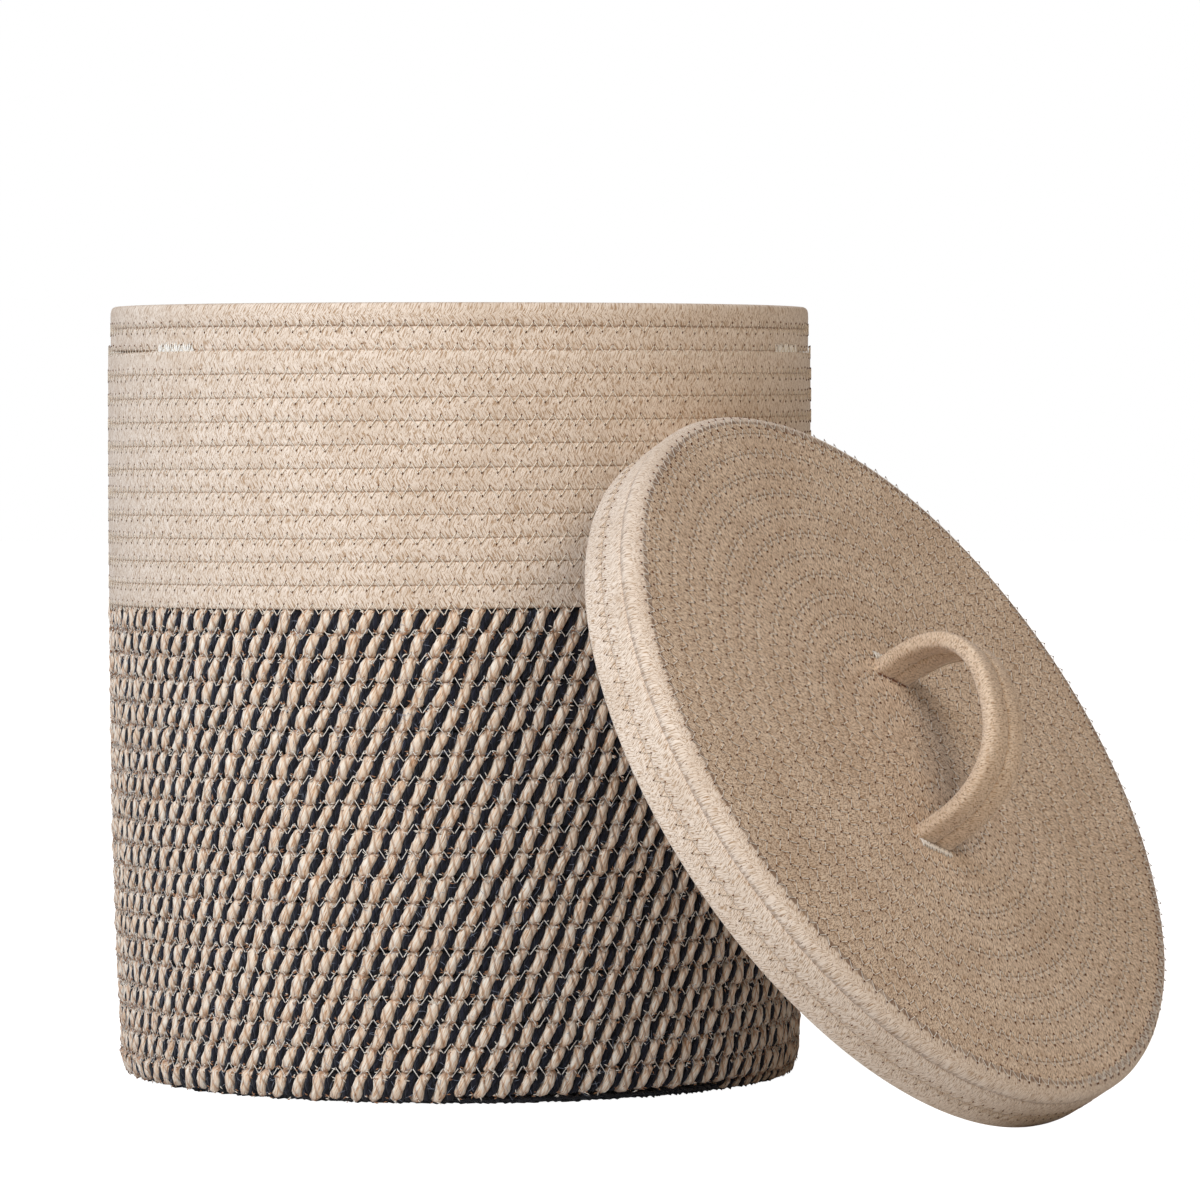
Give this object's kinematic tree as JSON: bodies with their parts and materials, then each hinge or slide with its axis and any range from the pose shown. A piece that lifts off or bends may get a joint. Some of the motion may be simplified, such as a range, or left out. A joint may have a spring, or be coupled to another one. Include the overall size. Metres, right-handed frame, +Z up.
{
  "type": "rope storage basket",
  "caption": "Round coiled-rope basket with a two-tone lower wall and grip slits, and a loose rope lid with a loop handle leaning against its side.",
  "frame": {"origin": "centre of the basket's base, on the floor it stands on", "axes": "+Z up along the basket's axis, +Y away from the viewer of the picture, +X to the viewer's right, where the lid leans"},
  "size_m": [0.5167, 0.5468, 0.381],
  "materials": {
    "two_tone_rope": "natural and near-black strands twisted together, matt",
    "plain_rope": "braided natural rope, matt",
    "base_rope": "near-black twisted rope, matt",
    "lid_rope": "braided natural rope, matt",
    "handle_rope": "braided natural rope, matt",
    "thread": "off-white sewing thread, dense zigzag"
  },
  "bodies": {
    "basket": {"base_coil": "base_rope", "lower_wall_coil": "two_tone_rope", "upper_wall_coil": "plain_rope", "grip_tack_right_start": "thread", "grip_tack_right_end": "thread", "grip_tack_left_start": "thread", "grip_tack_left_end": "thread"},
    "lid": {"lid_face_coil": "lid_rope", "lid_skirt_coil": "lid_rope", "handle_foot_upper": "handle_rope", "handle_foot_lower": "handle_rope", "handle_tack_upper": "thread", "handle_tack_lower": "thread"},
    "handle": {"handle_rope_front": "handle_rope", "handle_rope_back": "handle_rope"}
  },
  "joints": [
    {"name": "lid_lift", "type": "slide", "parent": "basket", "child": "lid", "axis": [0.7119, -0.4676, 0.524], "range_m": [0, 0.35]},
    {"name": "handle_fold", "type": "hinge", "parent": "lid", "child": "handle", "pos_m": [0.2151, -0.2111, 0.17286], "axis": [0.1768, -0.6028, -0.7781], "range_deg": [-30, 30], "stiffness_Nm_per_rad": 0.4}
  ]
}
